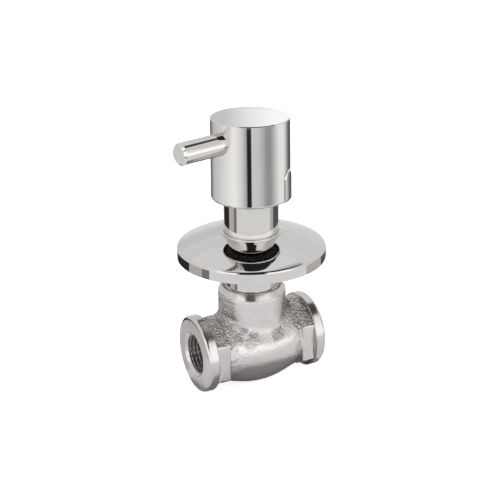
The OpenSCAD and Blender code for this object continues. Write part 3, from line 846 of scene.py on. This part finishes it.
def cards():
    """Cards that only the chrome sees. White paper lies round the valve, with a disc of painted shadow
    under it and a soft grey sheet of painted shadow at its near left, and grey, dark and black cards at its
    sides and behind it shade the edges of the sleeve, the neck and the flange."""
    white = card_stock("white_paper", "#F6F6F6", "#F9F9F9")
    # Painted shadow: a soft grey sheet for the table's dimmer patch near the valve's left, as the chrome
    # mirrors it
    table_shadow = card_stock("table_shadow_card", "#D8D6D6", "#DEDCDC")
    grey = card_stock("grey_card", "#C4C2C2", "#CECCCC")
    # Painted shadow: a darker grey disc for the valve's shadow on the table under it, as the chrome mirrors
    # it
    shaded = card_stock("shaded_card", "#A6A4A4", "#AEACAC")
    dark = card_stock("dark_card", "#848282", "#8C8A8A")
    dim = card_stock("shade_card", "#5E5C5C", "#666464")
    black = card_stock("black_velvet", "#2C2B2B", "#363535")
    for name, angles, radii, material in [
            ("shaded_card", (-180, 180), (0, 36), shaded), ("table_card", (-92, 192), (36, 97), white),
            ("near_left_card", (-168, -92), (36, 97), table_shadow), ("front_card", (-61, 84), (97, 262), white),
            ("left_strip", (-74, -61), (97, 262), dark), ("left_card", (-101, -74), (97, 262), grey),
            ("back_card", (-146, -101), (97, 262), black), ("right_card", (84, 102), (97, 262), grey),
            ("right_near", (102, 122), (97, 200), grey), ("right_far", (102, 122), (200, 262), dim),
            ("corner_card", (122, 160), (97, 262), dim), ("rear_card", (160, 214), (97, 262), grey)]:
        sector(name, angles, radii, FLOOR_Z + 0.15, material)


def ramp(tree, value, stops):
    """Greys along a value from 0 to 1."""
    made = node(tree, "ShaderNodeValToRGB", {"Fac": value})
    steps = made.color_ramp.elements
    while len(steps) < len(stops):
        steps.new(0.5)
    for step, (place, colour) in zip(steps, stops):
        step.position = place
        step.color = linear(colour)
    return made.outputs["Color"]


def round_the_room(tree, share, stops):
    """Greys round the studio. Each stop is an angle from the camera's side to its right. The ramp starts
    and ends at the camera, with the far side of the room at its middle."""
    placed = [((180 - angle) / 360 + 0.5 if angle > 0 else 0.5 - (180 + angle) / 360, colour)
              for angle, colour in stops]
    return ramp(tree, share, sorted(placed))


def above(tree, rise, low, high, under, over):
    """One grey below a height of view and another above it, with a short blend."""
    step = node(tree, "ShaderNodeMapRange", {"Value": rise, "From Min": low, "From Max": high},
                interpolation_type="SMOOTHSTEP").outputs["Result"]
    return mixed(tree, step, under, over)


def studio():
    """The soft studio as the chrome sees it: the table far off, with a black gap below the camera, a white
    wall behind the camera and pale grey ones at the sides and behind the valve, a dark window high up in
    the white wall, and a ceiling that is dark over the camera's side. Anything matt sees plain white
    light."""
    world = bpy.data.worlds.new("studio")
    bpy.context.scene.world = world
    world.use_nodes = True
    tree = world.node_tree
    tree.nodes.clear()
    look = node(tree, "ShaderNodeTexCoord").outputs["Generated"]
    a = math.radians(CAMERA_AZIMUTH)
    ahead = node(tree, "ShaderNodeVectorMath", {0: look, 1: (-math.sin(a), math.cos(a), 0)},
                 operation="DOT_PRODUCT")
    aside = node(tree, "ShaderNodeVectorMath", {0: look, 1: (math.cos(a), math.sin(a), 0)},
                 operation="DOT_PRODUCT")
    angle = node(tree, "ShaderNodeMath", {0: aside.outputs["Value"], 1: ahead.outputs["Value"]},
                 operation="ARCTAN2")
    share = node(tree, "ShaderNodeMapRange", {"Value": angle.outputs["Value"], "From Min": -math.pi,
                                              "From Max": math.pi}).outputs["Result"]
    rise = node(tree, "ShaderNodeSeparateXYZ", {"Vector": look}).outputs["Z"]
    seen = round_the_room(tree, share, TABLE)
    for low, high, greys in ROOM:
        seen = above(tree, rise, low, high, seen, round_the_room(tree, share, greys))
    glossy = node(tree, "ShaderNodeLightPath").outputs["Is Glossy Ray"]
    mirror_light = node(tree, "ShaderNodeBackground", {"Color": seen, "Strength": MIRROR_LIGHT})
    soft_light = node(tree, "ShaderNodeBackground", {"Color": (1, 1, 1, 1), "Strength": SOFT_LIGHT})
    both = node(tree, "ShaderNodeMixShader", {0: glossy, 1: soft_light.outputs["Background"],
                                              2: mirror_light.outputs["Background"]})
    node(tree, "ShaderNodeOutputWorld", {"Surface": both.outputs["Shader"]})


def camera():
    made = bpy.data.cameras.new("camera")
    made.lens = CAMERA_LENS
    made.sensor_width = 36.0
    made.clip_start = 0.01
    made.clip_end = 20.0
    eye = bpy.data.objects.new("camera", made)
    bpy.context.scene.collection.objects.link(eye)
    a, e = math.radians(CAMERA_AZIMUTH), math.radians(CAMERA_PITCH)
    back = Vector((math.sin(a) * math.cos(e), -math.cos(a) * math.cos(e), math.sin(e)))
    eye.rotation_mode = "QUATERNION"
    eye.rotation_quaternion = ((-back).to_track_quat("-Z", "Y")
                               @ Quaternion((0, 0, 1), math.radians(-CAMERA_ROLL)))
    eye.location = Vector((CAMERA_X, CAMERA_Y, CAMERA_Z)) * MM
    bpy.context.scene.camera = eye


floor()
cards()
studio()
camera()
bpy.context.scene.view_settings.view_transform = "Standard"
